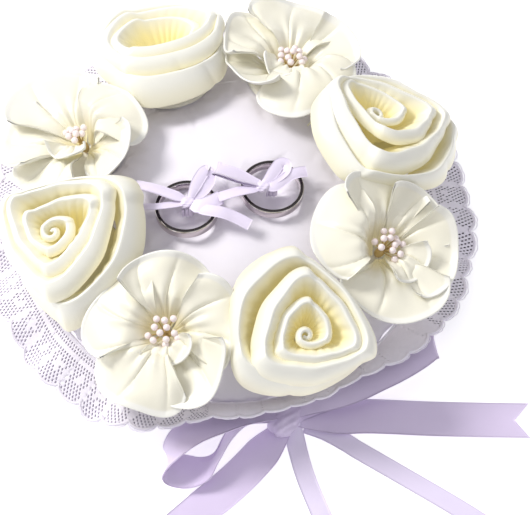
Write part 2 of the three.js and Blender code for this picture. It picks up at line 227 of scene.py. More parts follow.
def pearl_material():
    finish = {"Roughness": 0.22, "Coat Weight": 0.6, "Coat Roughness": 0.08}
    material, tree, shader = principled("pearl", finish)
    tone = mix_colours(tree, noise(tree, 700), (0.90, 0.74, 0.72), (0.97, 0.90, 0.88))
    tree.links.new(tone, shader.inputs["Base Color"])
    return material


def silver_material():
    """Polished silver, with reflections painted into its colour by the way the surface faces: walls mauve, a
    painted reflection of the cloth; a bright shoulder, a painted highlight; and a dark line along the top, a
    painted reflection.
    """
    material, tree, shader = principled("silver", {"Metallic": 1.0, "Roughness": 0.05})
    scratches = noise(tree, 900, 8)
    split = add_node(tree, "SeparateXYZ")
    tree.links.new(add_node(tree, "TexCoord").outputs["Normal"], split.inputs["Vector"])
    # Painted reflection and painted highlight, by the way the surface faces: mauve walls, a bright shoulder,
    # a dark top.
    painted_reflection = add_node(tree, "ValToRGB")
    wall, top = painted_reflection.color_ramp.elements
    wall.position = 0.35
    wall.color = (0.60, 0.54, 0.56, 1)
    top.position = 0.88
    top.color = (0.07, 0.06, 0.06, 1)
    painted_reflection.color_ramp.elements.new(0.58).color = (0.95, 0.94, 0.91, 1)
    tree.links.new(split.outputs["Z"], painted_reflection.inputs["Fac"])
    worn = mix_colours(tree, scratches, (0.90, 0.90, 0.90), (1.0, 1.0, 1.0))
    tone = mix_colours(tree, 1.0, painted_reflection.outputs["Color"], worn, "MULTIPLY")
    tree.links.new(tone, shader.inputs["Base Color"])
    bump(tree, shader, scratches, 0.02, 0.00005)
    return material


# ---- Meshes from grids of points ----
def add_mesh(name, points, faces, materials, uv=None, depth=None):
    """points in millimetres, one row each. uv and depth have one row for each point."""
    mesh = bpy.data.meshes.new(name)
    if isinstance(faces, np.ndarray):
        faces = faces.tolist()
    mesh.from_pydata((np.asarray(points) * MM).tolist(), [], faces)
    for material in materials:
        mesh.materials.append(material)
    mesh.shade_smooth()
    if uv is not None:
        corners = np.zeros(len(mesh.loops), np.int32)
        mesh.loops.foreach_get("vertex_index", corners)
        layer = mesh.uv_layers.new(name="UVMap")
        layer.data.foreach_set("uv", np.asarray(uv, np.float32)[corners].ravel())
    # The depth attribute carries painted shade and painted light for the satin material.
    if depth is not None:
        values = mesh.attributes.new("depth", "FLOAT", "POINT").data
        values.foreach_set("value", np.asarray(depth, np.float32).ravel())
    piece = bpy.data.objects.new(name, mesh)
    bpy.context.scene.collection.objects.link(piece)
    return piece


def polar(radius, angle, z):
    """Points at that distance and angle from the Z axis, and that height."""
    return np.stack(np.broadcast_arrays(radius * np.cos(angle), radius * np.sin(angle), z), -1)


def turned(x, y, angle):
    return x * np.cos(angle) - y * np.sin(angle), x * np.sin(angle) + y * np.cos(angle)


def grid_faces(rows, columns, wrap_rows=False, wrap_columns=False):
    i = np.arange(rows if wrap_rows else rows - 1)[:, None]
    j = np.arange(columns if wrap_columns else columns - 1)[None, :]
    next_i, next_j = (i + 1) % rows, (j + 1) % columns
    corners = [i * columns + j, next_i * columns + j, next_i * columns + next_j, i * columns + next_j]
    return np.stack(np.broadcast_arrays(*corners), -1).reshape(-1, 4)


def lengths_along(points, axis):
    steps = np.linalg.norm(np.diff(points, axis=axis), axis=-1)
    steps = np.insert(steps, 0, 0, axis=axis)
    return np.cumsum(steps, axis=axis)


def grid_uv(points):
    """Distances along and across the cloth from its middle lines, in millimetres."""
    rows, columns = points.shape[:2]
    along = lengths_along(points, 0)[:, columns // 2]
    across = lengths_along(points, 1)[rows // 2, :]
    return np.stack(np.meshgrid(along, across, indexing="ij"), -1).reshape(-1, 2)


def unit(vectors):
    return vectors / np.maximum(np.linalg.norm(vectors, axis=-1, keepdims=True), 1e-9)


def circle(count):
    """Angles round a full turn, as a column."""
    return np.linspace(0, TAU, count, endpoint=False)[:, None]


def normals_of(points, wrap_rows=False):
    if wrap_rows:
        points = np.concatenate([points[-1:], points, points[:1]])
    normal = unit(np.cross(np.gradient(points, axis=0), np.gradient(points, axis=1)))
    return normal[1:-1] if wrap_rows else normal


def cloth(name, points, material, depth=None, thickness=CLOTH_THICKNESS, wrap_rows=False):
    """A closed piece of cloth of that thickness, from a grid of the points midway through it."""
    rows, columns = points.shape[:2]
    half = normals_of(points, wrap_rows) * thickness / 2
    both = np.concatenate([(points + half).reshape(-1, 3), (points - half).reshape(-1, 3)])
    top = grid_faces(rows, columns, wrap_rows=wrap_rows)
    count = rows * columns
    index = np.arange(count).reshape(rows, columns)
    closed = np.concatenate([index, index[:1]]) if wrap_rows else index
    edges = [closed[::-1, 0], closed[:, -1]]
    if not wrap_rows:
        edges += [index[0], index[-1, ::-1]]
    sides = [np.stack([edge[:-1], edge[:-1] + count, edge[1:] + count, edge[1:]], -1) for edge in edges]
    faces = np.concatenate([top, top[:, ::-1] + count, *sides])
    if depth is not None:
        depth = np.tile(np.asarray(depth).reshape(-1), 2)
    return add_mesh(name, both, faces, [material], np.tile(grid_uv(points), (2, 1)), depth)


def folded(surface, rows, columns, gap):
    """Cloth folded double over its rim. surface(u, v) is the sheet midway between the two layers, with v = 1
    at the rim, and gap(u, v) is half the space between them. Returns a grid, and each point's v."""
    u, v = np.meshgrid(np.linspace(0, 1, rows), np.linspace(0, 1, columns), indexing="ij")
    middle = surface(u, v)
    normal = normals_of(middle)
    half = gap(u, v)[..., None]
    outwards = unit(middle[:, -1] - middle[:, -2])
    rim = [
        middle[:, -1] + half[:, -1] * (normal[:, -1] * math.cos(a) + outwards * math.sin(a))
        for a in np.linspace(0, math.pi, RIM_STEPS + 2)[1:-1]
    ]
    layers = [middle + normal * half, np.stack(rim, 1), (middle - normal * half)[:, ::-1]]
    heights = [v, np.ones((rows, RIM_STEPS)), v[:, ::-1]]
    return np.concatenate(layers, axis=1), np.concatenate(heights, axis=1)


def between(before, a, b, after, t):
    """From a at t = 0 to b at t = 1, on a smooth curve that comes from before and goes on to after."""
    square = (2 * before - 5 * a + 4 * b - after) * t**2
    return 0.5 * (2 * a + (b - before) * t + square + (3 * a - before - 3 * b + after) * t**3)


def spline(points, count):
    """A smooth curve through points, at count even steps of its length."""
    points = np.asarray(points, float)
    ends = [2 * points[0] - points[1], *points, 2 * points[-1] - points[-2]]
    t = np.linspace(0, 1, 24, endpoint=False)[:, None]
    fine = [between(*stops, t) for stops in zip(ends, ends[1:], ends[2:], ends[3:])]
    fine = np.concatenate([*fine, points[-1:]])
    length = lengths_along(fine[:, :3], 0)
    wanted = np.linspace(0, length[-1], count)
    return np.stack([np.interp(wanted, length, fine[:, k]) for k in range(fine.shape[1])], -1)


def smooth_step(x):
    x = np.clip(x, 0, 1)
    return x * x * (3 - 2 * x)


def knots(at, values):
    """A smooth function through values at 0, 1, 2 and so on."""
    values = np.asarray(values, float)
    last = len(values) - 1
    at = np.clip(at, 0, last)
    low = np.minimum(np.floor(at).astype(int), last - 1)
    before = values[np.maximum(low - 1, 0)]
    after = values[np.minimum(low + 2, last)]
    return between(before, values[low], values[low + 1], after, at - low)


def ripple(seed, *coordinates):
    """A smooth, repeatable wobble between about -1 and 1."""
    rng = np.random.default_rng(seed)
    total = 0
    for _ in range(4):
        phase = rng.uniform(0, TAU)
        weights = rng.uniform(0.6, 1.4, len(coordinates)) * rng.choice([-1, 1], len(coordinates))
        total = total + np.sin(sum(w * c for w, c in zip(weights, coordinates)) + phase)
    return total / 2.6


# ---- Narrow ribbon tails: free, flat cords on the table ----
NARROW_WIDTH = 6.5
NARROW_ROUTES = {
    "narrow_left_tail": [
        (21.6, -71.6, 4.2, 1, 0.1, 0),
        (23.0, -76.0, 1.8, 1, 0.2, 0),
        (24.2, -81, 0.8, 1, 0.3, 0),
        (26.8, -90, 0.55, 0.9, 0.4, 0),
        (31.2, -101.2, 0.55, 0.9, 0.4, 0),
        (38, -117, 0.55, 0.9, 0.4, 0),
        (44, -130, 0.55, 0.9, 0.4, 0),
    ],
    "narrow_right_tail": [
        (26.5, -70.8, 1.2, 0.4, 0.9, 0),
        (33.5, -73.2, 0.6, 0.45, 0.9, 0),
        (40.4, -77.1, 0.55, 0.5, 0.85, 0),
        (44.8, -80, 0.55, 0.5, 0.85, 0),
        (58, -88, 0.55, 0.5, 0.85, 0),
        (79, -101, 0.55, 0.5, 0.85, 0),
        (100, -115.5, 0.55, 0.5, 0.85, 0),
    ],
}


def ribbon_points(stops, width, rows, columns, gathered=(0, 0), notch=0, crown=0.0):
    """A flat ribbon along a smooth curve through stops, each a place and the way its width runs. gathered is
    how much it narrows at its ends, crown is how high its middle stands, and notch cuts a V in its end."""
    line = spline(stops, rows)
    path, wide = line[:, :3], line[:, 3:]
    along = unit(np.gradient(path, axis=0))
    wide = unit(wide - along * (wide * along).sum(1, keepdims=True))
    up = np.cross(along, wide)
    u = np.linspace(0, 1, rows)[:, None]
    side = np.linspace(-1, 1, columns)[None, :]
    spread = 1 - gathered[0] * (1 - smooth_step(u / 0.25)) - gathered[1] * (1 - smooth_step((1 - u) / 0.25))
    reach = (side * spread * width / 2)[..., None]
    bulge = (crown * (1 - side**2) * np.ones_like(u))[..., None]
    points = path[:, None] + wide[:, None] * reach + up[:, None] * bulge
    length = lengths_along(path, 0)[-1]
    cut = notch * (1 - np.abs(side)) * smooth_step((u * length - (length - 3 * notch)) / max(3 * notch, 1e-6))
    return points - along[:, None] * cut[..., None]


def make_narrow_tails(material):
    for name, stops in NARROW_ROUTES.items():
        points = ribbon_points(stops, NARROW_WIDTH, 60, 9, crown=0.08)
        strip = cloth(f"{name}_ribbon", points, material, thickness=0.25)
        attach(strip, "narrow_lilac", name)


# ---- Cushion ----
CUSHION_RADIUS = 68
SEAM_HEIGHT = 14
REST_RADIUS = 46
STALK_REACH = 2.5  # how far from its middle a tie's stalk holds the cloth down
FLOWER_REACH = 14
SEWN_RADIUS = 63.5  # from here out the seam holds the cloth
SWELL_FRAMES = 20
MOST_SWELL = 1.6


def middle_of(node):
    low, high = box_mm(node)
    return tuple((low + high)[:2] / 2)


STALKS = [middle_of(f"{side}_tie_stalk") for side in ("left", "right")]
FLOWER_SEATS = [middle_of(f"{kind}_{i}_backing") for kind in ("rose", "blossom") for i in (1, 2, 3, 4)]


def top_height(radius):
    share = np.clip(1 - (radius / CUSHION_RADIUS) ** 2.2, 0, 1)
    return SEAM_HEIGHT + 20 * share**0.6


def underside_height(radius):
    share = np.clip((radius - REST_RADIUS) / (CUSHION_RADIUS - REST_RADIUS), 0, 1)
    return SEAM_HEIGHT * (1 - np.sqrt(1 - share**1.6))


def cushion_grid(turns, steps):
    """The cushion's skin, from near the middle of its top round the seam to near the middle of its base."""
    angle = circle(turns)
    share = np.linspace(0, 1, steps)[None, :]
    radius = CUSHION_RADIUS * share**0.55
    puckers = np.sin(60 * angle + 3 * np.sin(5 * angle)) * np.exp(-((CUSHION_RADIUS - radius) / 6) ** 2)
    creases = 0.25 * ripple(3, 5 * np.cos(angle), 5 * np.sin(angle), radius / 9)
    rim = radius + 0.35 * puckers * (radius / CUSHION_RADIUS)
    top = top_height(radius) + (0.35 * puckers + creases) * (1 - share**12)
    for x, y in STALKS:
        apart = np.hypot(radius * np.cos(angle) - x, radius * np.sin(angle) - y)
        top = top - 1.1 * np.exp(-((apart / 4) ** 2))
    under = underside_height(radius) - 0.3 * puckers * (1 - share**12)
    upper = polar(rim, angle, top)
    lower = polar(rim, angle, np.maximum(under, 0))[:, ::-1]
    return np.concatenate([upper[:, 1:-1], lower[:, :-1]], axis=1)


def closed_skin(name, points, material, flip=False, uv_axes=(0, 1)):
    """A closed mesh of a grid whose rows run round and meet, with a point added at each of its poles."""
    rows, columns = points.shape[:2]
    flat = points.reshape(-1, 3)
    vertices = np.concatenate([flat, points[:, [0, -1]].mean(0)])
    first = np.arange(rows) * columns
    after = np.roll(first, -1)
    faces = grid_faces(rows, columns, wrap_rows=True).tolist()
    faces += np.stack([np.full(rows, len(flat)), after, first], -1).tolist()
    faces += np.stack([np.full(rows, len(flat) + 1), first + columns - 1, after + columns - 1], -1).tolist()
    if flip:
        faces = [face[::-1] for face in faces]
    return add_mesh(name, vertices, faces, [material], vertices[:, uv_axes])


def swelling(points, held, material):
    """How far each point of the grid moves as the filling presses the cloth out between the points it is held
    at: the seam, under the flowers, at the ties, and where it rests on the table."""
    piece = closed_skin("cushion_trial", points, material, flip=True)
    group = piece.vertex_groups.new(name="held")
    group.add(np.flatnonzero(held.ravel()).tolist(), 1.0, "REPLACE")
    simulated = piece.modifiers.new("cloth", "CLOTH")
    settings = dict(
        quality=6,
        mass=0.2,
        tension_stiffness=12,
        compression_stiffness=12,
        bending_stiffness=0.2,
        use_pressure=True,
        uniform_pressure_force=4,
        shrink_min=-0.03,
        vertex_group_mass="held",
    )
    for name, value in settings.items():
        setattr(simulated.settings, name, value)
    simulated.settings.effector_weights.gravity = 0
    simulated.point_cache.frame_start = 1
    simulated.point_cache.frame_end = SWELL_FRAMES
    scene = bpy.context.scene
    for moment in range(1, SWELL_FRAMES + 1):
        scene.frame_set(moment)
    shown = piece.evaluated_get(bpy.context.evaluated_depsgraph_get()).to_mesh()
    after = np.zeros(len(shown.vertices) * 3, np.float32)
    shown.vertices.foreach_get("co", after)
    moved = after.reshape(-1, 3)[: points.size // 3].reshape(points.shape) / MM - points
    scene.frame_set(1)
    bpy.data.objects.remove(piece)
    size = np.linalg.norm(moved, axis=-1, keepdims=True)
    return moved * np.minimum(1, MOST_SWELL / np.maximum(size, 1e-9))


def spread_out(grid, rows, columns):
    """The same grid at more points. Its rows run round and meet."""
    grid = np.concatenate([grid, grid[:1]])
    at = np.linspace(0, len(grid) - 1, rows, endpoint=False)
    low = np.floor(at).astype(int)
    part = (at - low)[:, None, None]
    grid = grid[low] * (1 - part) + grid[low + 1] * part
    last = grid.shape[1] - 1
    at = np.linspace(0, last, columns)
    low = np.minimum(np.floor(at).astype(int), last - 1)
    part = (at - low)[None, :, None]
    return grid[:, low] * (1 - part) + grid[:, low + 1] * part


def make_cushion(material):
    points = cushion_grid(240, 90)
    trial = cushion_grid(120, 40)
    x, y, z = trial[..., 0], trial[..., 1], trial[..., 2]
    held = (np.hypot(x, y) > SEWN_RADIUS) | (z < 0.5)
    for places, reach in ((STALKS, STALK_REACH), (FLOWER_SEATS, FLOWER_REACH)):
        for place in places:
            held |= (np.hypot(x - place[0], y - place[1]) < reach) & (z > SEAM_HEIGHT)
    points = points + spread_out(swelling(trial, held, material), *points.shape[:2])
    points[..., 2] = np.maximum(points[..., 2], 0)
    piece = closed_skin("cushion", points, material, flip=True)
    attach(piece, "pale_satin", "cushion_top_cover", "cushion_bottom_cover", "cushion_filling")


# ---- Lace ----
LACE_START = 68.8
LACE_WIDTH = 18.0
LACE_REPEATS = 54
REPEAT = 10.2  # length of the flat lace in one scallop
CELL = 1.35
HOLE = (0.27, 0.56)  # half its length along the lace and across it
HOLE_SLANT = 0.4
LACE_LENGTH = LACE_REPEATS * REPEAT
SCALLOP = 2.4  # how deep the scallops are
TUBE_SIDES = 8
SNAP = 0.02  # corners of neighbouring cells nearer than this are one point
BOW_ANGLE = math.atan2(-68.5, 20.5)


def near_angle(angle, centre, half_angle, sharpness):
    """1 at an angle on the rim, falling to 0 beyond half_angle to each side of it."""
    apart = np.angle(np.exp(1j * (angle - centre)))
    return np.exp(-((apart / half_angle) ** sharpness))


def lace_surface(along, out, lift=0.0):
    """Where a point of the flat lace hangs: along its length, and out from its header, in millimetres. It is
    lifted over the bow's loops, and tucked in behind the knot, under the edges of the flowers."""
    angle = TAU * along / LACE_LENGTH
    v = out / LACE_WIDTH
    lifted = near_angle(angle, BOW_ANGLE + 0.12, 0.78, 4)
    tucked = near_angle(angle, BOW_ANGLE - 0.03, 0.56, 6)
    wave = (2.0 * np.sin(18 * angle) + 0.9 * np.sin(31 * angle + 1.3)) * (1 - 0.6 * lifted) * v
    sway = 0.8 * np.sin(18 * angle + 1.7) * v * (1 - lifted)
    radius = LACE_START + out * (1 - 0.25 * lifted - 0.37 * tucked) + sway
    fall = -7.5 + 13.5 * lifted - 1.5 * tucked
    z = SEAM_HEIGHT + v * fall + 1.5 * tucked * np.sin(math.pi * v) + wave + lift
    return polar(radius, angle, z)


def lace_edge(along):
    """How far out the scalloped edge comes."""
    return LACE_WIDTH - SCALLOP + SCALLOP * np.sin(math.pi * ((along / REPEAT) % 1)) ** 0.6


def lace_cells():
    """The net's points and faces. A cell is a hexagon, with a slanted hole unless the lace is worked solid
    there or gathered behind the bow."""
    across = round(LACE_LENGTH / CELL)
    spacing = LACE_LENGTH / across
    row_height = spacing * math.sqrt(3) / 2
    rows = int(LACE_WIDTH / row_height) + 1
    j, i = np.meshgrid(np.arange(rows), np.arange(across), indexing="ij")
    centre_s = (i + 0.5 * (j % 2)) * spacing
    centre_t = 0.6 + j * row_height
    inside = centre_t < lace_edge(centre_s) - 1.3
    centre_s, centre_t = centre_s[inside], centre_t[inside]
    turn = (np.arange(6) + 0.5) * TAU / 6
    corner_s = centre_s[:, None] + spacing / math.sqrt(3) * np.cos(turn)
    corner_t = centre_t[:, None] + spacing / math.sqrt(3) * np.sin(turn)
    keys = np.stack([np.round(corner_s % LACE_LENGTH / SNAP), np.round(corner_t / SNAP)], -1).reshape(-1, 2)
    keys[:, 0] %= round(LACE_LENGTH / SNAP)
    _, first, which = np.unique(keys, axis=0, return_index=True, return_inverse=True)
    outer = which.reshape(-1, 6)
    gathered = near_angle(TAU * centre_s / LACE_LENGTH, BOW_ANGLE + 0.2, 0.6, 8)
    is_open = np.maximum(lace_density((centre_s / REPEAT) % 1, centre_t), gathered) <= 0.5
    hole_s, hole_t = turned(HOLE[0] * np.cos(turn), HOLE[1] * np.sin(turn), -HOLE_SLANT)
    hole_s = centre_s[is_open, None] + hole_s
    hole_t = centre_t[is_open, None] + hole_t
    ring = outer[is_open]
    inner = len(first) + np.arange(ring.size).reshape(-1, 6)
    quads = np.stack([ring, np.roll(ring, -1, 1), np.roll(inner, -1, 1), inner], -1).reshape(-1, 4)
    s = np.concatenate([corner_s.reshape(-1)[first], hole_s.reshape(-1)])
    t = np.concatenate([corner_t.reshape(-1)[first], hole_t.reshape(-1)])
    return lace_surface(s, t), [*quads.tolist(), *outer[~is_open].tolist()]


def make_lace(thread, shadow_sheet_material):
    points, faces = lace_cells()
    net = add_mesh("lace_net", points, faces, [thread])
    solid = net.modifiers.new("thickness", "SOLIDIFY")
    solid.thickness = 0.3 * MM
    solid.offset = 0
    apply_modifiers(net)
    along = np.linspace(0, LACE_LENGTH, LACE_REPEATS * 20, endpoint=False)
    edge = lace_edge(along)
    picots = 0.65 * np.abs(np.sin(3 * math.pi * along / REPEAT)) ** 0.4
    share = np.linspace(0, 1, 10)[None, :]
    # A dark sheet under the net stands for the shadow seen through its holes: painted shadow, with painted
    # light towards its lit side, to the left.
    under = lace_surface(along[:, None], 0.5 + (edge[:, None] - 1.9) * share, -0.45)
    painted_lit_side = near_angle(TAU * along / LACE_LENGTH, math.radians(205), 1.0, 4)[:, None] * np.ones_like(share)
    trims = [
        make_tube("lace_cord", lace_surface(along, edge - 1.3), 0.6, thread),
        make_tube("lace_header", lace_surface(along, 0.3), 0.5, thread),
        make_tube("lace_picot", lace_surface(along, edge - 0.65 + picots), 0.17, thread),
        cloth("lace_shadow_sheet", under, shadow_sheet_material, painted_lit_side, thickness=0.12, wrap_rows=True),
    ]
    attach(net, "lace_net", "lace_edging")
    for piece in trims:
        attach(piece, "lace_net")


def lace_density(phase, out):
    """1 where the lace is worked solid: a leaf between scallops, a small flower in each, and its top band."""
    from_join = np.minimum(phase, 1 - phase) * REPEAT
    leaf = (from_join < 1.3 * np.sin(np.clip((out - 5) / 12, 0, 1) * math.pi)) & (out > 5)
    middle = (phase - 0.5) * REPEAT
    petals = np.hypot(middle, out - 9) < 1.6 + 0.9 * np.cos(5 * np.arctan2(out - 9, middle))
    band = (out < 1.6) | (np.abs(out - 4.2) < 0.5)
    return (leaf | petals | band).astype(float)


def apply_modifiers(piece):
    bpy.context.view_layer.update()
    shown = piece.evaluated_get(bpy.context.evaluated_depsgraph_get())
    mesh = bpy.data.meshes.new_from_object(shown)
    piece.modifiers.clear()
    piece.data = mesh


def make_tube(name, line, radius, material):
    """A round tube along a line of points that closes on itself."""
    along = np.gradient(np.concatenate([line[-1:], line, line[:1]]), axis=0)[1:-1]
    across = unit(np.cross(along, [0, 0, 1.0]))
    up = unit(np.cross(along, across))
    angle = circle(TUBE_SIDES)
    points = line[:, None] + radius * (across[:, None] * np.cos(angle) + up[:, None] * np.sin(angle))
    faces = grid_faces(len(line), TUBE_SIDES, wrap_rows=True, wrap_columns=True)
    return add_mesh(name, points.reshape(-1, 3), faces, [material])


# ---- Flowers ----
FLOWER_FLOOR = 1.9
FLOWER_DISTANCE = 53  # from the pillow's middle
FELT_MIDDLE = 0.95


def flower_frame(backing):
    """The flower's own frame, from its felt backing: +X runs outwards down the slope, +Z is its axis."""
    middle = sum(box_mm(backing)) / 2
    angle = math.atan2(middle[1], middle[0])
    turn = np.array(Matrix.Rotation(angle, 3, "Z") @ Matrix.Rotation(FLOWER_TILT, 3, "Y"))
    return middle - turn @ np.array([0, 0, FELT_MIDDLE]), turn


def pressed(points, lap):
    """Flowers press against each other, so each keeps to its sector of the cushion, and lap beyond it."""
    radius = FLOWER_DISTANCE + points[..., 0] * math.cos(FLOWER_TILT) + points[..., 2] * math.sin(FLOWER_TILT)
    limit = radius * math.tan(math.pi / FLOWER_COUNT) + lap
    result = points.copy()
    result[..., 1] = points[..., 1] / (1 + np.abs(points[..., 1] / limit) ** 6) ** (1 / 6)
    return result


def placed(points, where):
    seat, turn = where
    return points @ turn.T + seat


# Each rose is one ribbon wound outwards, folded over and stepping inwards at three corners in each turn. A
# list gives a value at its bud, and after each whole turn. start: the way its bud's end points, in radians.
# hand: 1 where it winds anticlockwise seen from above, -1 where it winds clockwise.
# centre_x, centre_y: the middle of that turn, seen from above. rim: its radius. corners: how far it is from
# round to three-cornered. stretch: how far it is from round to oval. height: of its rim above the felt.
# lip: how far the band that is rolled over the rim comes out, most of all towards lip_angle.
ROSES = {
    1: {
        "start": 3.3, "hand": 1, "corner_angle": 0.35, "stretch_angle": -0.35, "lip_angle": 4.0,
        "centre_x": (-3, -3, -2.2, -2.6, -0.6, 0.4),
        "centre_y": (4.6, 4.6, 6.2, 2.6, 0.0, -3.4),
        "rim": (0.8, 2.6, 10.6, 15.6, 21.5, 26.0),
        "corners": (0, 0.02, 0.12, 0.15, 0.10, 0.04),
        "stretch": (1.0, 1.15, 1.30, 1.12, 1.03, 1.0),
        "height": (13.0, 15.0, 17.5, 18.5, 16.0, 10.5),
        "lip": (0.4, 0.9, 1.6, 4.0, 3.8, 4.5),
    },
    2: {
        "start": 2.2, "hand": 1, "corner_angle": 0.2, "stretch_angle": 0.30, "lip_angle": 4.5,
        "centre_x": (-1, -0.8, -2.0, -2.0, -2.3, -2.4),
        "centre_y": (2.0, 3.0, 5.5, 5.4, 4.8, 3.4),
        "rim": (0.8, 3.6, 10.6, 15.0, 19.5, 23.5),
        "corners": (0, 0.02, 0.04, 0.05, 0.05, 0.03),
        "stretch": (1.0, 1.2, 1.36, 1.26, 1.10, 1.02),
        "height": (7.0, 9.5, 18.0, 18.5, 16.5, 11.0),
        "lip": (0.4, 0.9, 2.0, 2.4, 3.6, 4.5),
    },
    3: {
        "start": 2.6, "hand": -1, "corner_angle": 0.44, "stretch_angle": 0.2, "lip_angle": 5.2,
        "centre_x": (-5.2, -5.2, -3.0, -3.2, -2.0, 0.6),
        "centre_y": (4.6, 4.6, 5.8, 6.8, 6.0, 2.6),
        "rim": (0.8, 3.0, 9.4, 14.6, 19.8, 25.0),
        "corners": (0, 0.03, 0.12, 0.14, 0.10, 0.05),
        "stretch": (1.0, 1.05, 1.12, 1.0, 1.0, 1.0),
        "height": (13.5, 15.5, 17.0, 18.5, 17.0, 12.5),
        "lip": (0.4, 1.0, 1.8, 2.6, 3.4, 5.0),
    },
    4: {
        "start": 3.5, "hand": 1, "corner_angle": -0.38, "stretch_angle": 0, "lip_angle": 4.1,
        "centre_x": (2.8, 2.8, 4.5, 3.5, 0.0, -1.6),
        "centre_y": (-1.8, -1.8, 0.4, 0.9, 3.4, 3.4),
        "rim": (0.8, 2.5, 10.0, 15.2, 20.6, 22.6),
        "corners": (0, 0.03, 0.12, 0.13, 0.07, 0.03),
        "stretch": (1.0, 1.0, 1.0, 1.0, 1.04, 1.06),
        "height": (13.5, 15.5, 17.0, 18.5, 15.5, 10.0),
        "lip": (0.4, 0.9, 1.8, 3.4, 4.2, 4.0),
    },
}
ROSE_TURNS = 4.9
TUCK_TURNS = 0.4  # the last of them, where the ribbon's end is tucked under
TUCK = 4.5
ROSE_LAP = 0.8
CREST = 0.5  # share of the ribbon's width below its rounded rim
CREST_RADIUS = 0.4
ROLL = 0.3  # share of what is beyond the crest that goes round it


def rose_surface(number, form, azimuth):
    """azimuth is the way the flower's +X points, seen from above."""

    def surface(u, v):
        turns = ROSE_TURNS * u
        value = {name: knots(turns, form[name]) for name in form if isinstance(form[name], tuple)}
        angle = form["start"] + form["hand"] * TAU * turns
        opened = smooth_step((turns - 0.7) / 1.6)
        tucked = smooth_step((turns - ROSE_TURNS + TUCK_TURNS) / TUCK_TURNS)
        corner = angle - form["corner_angle"]
        segment = (1.5 * corner / math.pi) % 1
        saw = (segment - smooth_step((segment - 0.9) / 0.1) - 0.45) * opened
        outline = 1 + value["corners"] * (np.cos(3 * corner) + 0.28 * np.cos(6 * corner))
        rim = value["rim"] * outline + 0.35 * opened * ripple(number, 1.7 * angle, 0.6 * turns)
        rim = rim - 0.9 * saw - TUCK * tucked
        fold = np.abs(np.cos(1.5 * corner)) ** 14 * opened
        height = value["height"] + 0.5 * fold + 0.6 * opened * ripple(number + 10, 1.3 * angle, turns)
        height = height - 1.3 * saw - TUCK * tucked
        towards_lip = np.cos(angle - form["lip_angle"])
        lip = value["lip"] * (1 + 0.45 * opened * towards_lip - 0.45 * saw)
        slope = np.radians(80 - 26 * smooth_step(turns / 3.5))  # of the ribbon's inner face
        lean = 66 - 40 * smooth_step(turns / 2.0) + 30 * smooth_step((turns - 3.8) / 1.1) + 16 * saw
        lean = np.radians(lean)
        up = np.clip(v / CREST, 0, 1)
        over = np.clip((v - CREST) / (1 - CREST), 0, 1)
        start_r = rim - CREST_RADIUS * np.sin(slope)
        start_z = height - CREST_RADIUS * (1 - np.cos(slope))
        foot = np.maximum(start_r - start_z / np.tan(slope) * 0.8, 0.35 + 0.25 * turns)
        bend = -slope + np.clip(over / ROLL, 0, 1) * (slope + lean)
        top_r = rim + CREST_RADIUS * np.sin(bend)
        top_z = height - CREST_RADIUS * (1 - np.cos(bend))
        t = np.clip((over - ROLL) / (1 - ROLL), 0, 1)
        middle = 2 * t * (1 - t) * 0.85
        out = lip * (middle * np.cos(lean) + t**2)
        down = lip * (middle * np.sin(lean) + t**2 * (0.8 + 0.9 * np.sin(lean)))
        radius = np.where(v < CREST, foot + (start_r - foot) * up**1.35, top_r + out)
        z = FLOWER_FLOOR + np.where(v < CREST, start_z * up**0.9, top_z - down)
        crease = (1 - np.abs(np.sin(1.6 * angle + number + 1.5 * np.sin(0.8 * angle)))) ** 5
        radius = radius - crease * over * smooth_step((turns - 3.2) / 0.5)
        gathers = np.sin(21 * angle + 2 * np.sin(3.1 * angle)) * np.clip(CREST - v, 0, 1) * v * opened
        radius = radius + 4.5 * gathers
        way = form["stretch_angle"]
        x, y = turned(radius * np.cos(angle), radius * np.sin(angle), -way)
        x, y = turned(x * value["stretch"], y / value["stretch"], way)
        x, y = turned(x + value["centre_x"], y + value["centre_y"], -azimuth)
        return pressed(np.stack([x, y, z], -1), ROSE_LAP)

    return surface


def rose_painted_shade(points, height, hand):
    """Painted shade for each point of the rose: 0 at its rim, 1 from about 7 mm below it in the crevices
    between turns, and a lighter painted shade on the lower part of the band rolled over the rim.
    """
    rows, columns = height.shape
    below = points[..., 2].max(axis=1, keepdims=True) - points[..., 2]
    shade = 0.24 * smooth_step((below - 0.25) / 0.6) + 0.76 * np.clip((below - 1.2) / 5.5, 0, 1) ** 0.8
    first_layer = np.arange(columns) < columns / 2
    inner = first_layer if hand < 0 else ~first_layer
    turns = ROSE_TURNS * np.linspace(0, 1, rows)[:, None]
    crevice = 0.7 * (1 - smooth_step((turns - 3.2) / 0.6))
    over = np.clip((height - CREST) / (1 - CREST), 0, 1)
    # Painted shade on the lower part of the band rolled over the rim.
    band = 0.34 * smooth_step((over - 0.4) / 0.6)
    return np.maximum(shade * (height < CREST) * np.where(inner[None, :], 1, crevice), band)


def make_rose(number, material):
    where = flower_frame(f"rose_{number}_backing")
    surface = rose_surface(number, ROSES[number], math.atan2(where[0][1], where[0][0]))
    points, height = folded(surface, 900, 34, lambda u, v: 0.13 + 0.06 * v * smooth_step(u * 4))
    # The depth attribute here is painted shade.
    depth = rose_painted_shade(points, height, ROSES[number]["hand"])
    piece = cloth(f"rose_{number}_satin", placed(points, where), material, depth)
    attach(piece, "ivory_satin", f"rose_{number}_ribbon")


def make_backing(flower, material):
    """A felt disc with a soft edge."""
    profile = [(0.01, 0.35), (13.2, 0.35), (13.6, 0.6), (13.7, 0.95), (13.6, 1.3), (13.2, 1.55), (0.01, 1.55)]
    fine = spline([(r, 0, z) for r, z in profile], 40)
    angle = circle(64)
    radius = fine[None, :, 0]
    radius = radius + 0.08 * ripple(5, 9 * angle, radius) * (radius > 10)
    world = placed(polar(radius, angle, fine[None, :, 2]), flower_frame(f"{flower}_backing"))
    piece = add_mesh(f"{flower}_felt", world.reshape(-1, 3), grid_faces(64, 40, wrap_rows=True), [material])
    attach(piece, "felt", f"{flower}_backing")


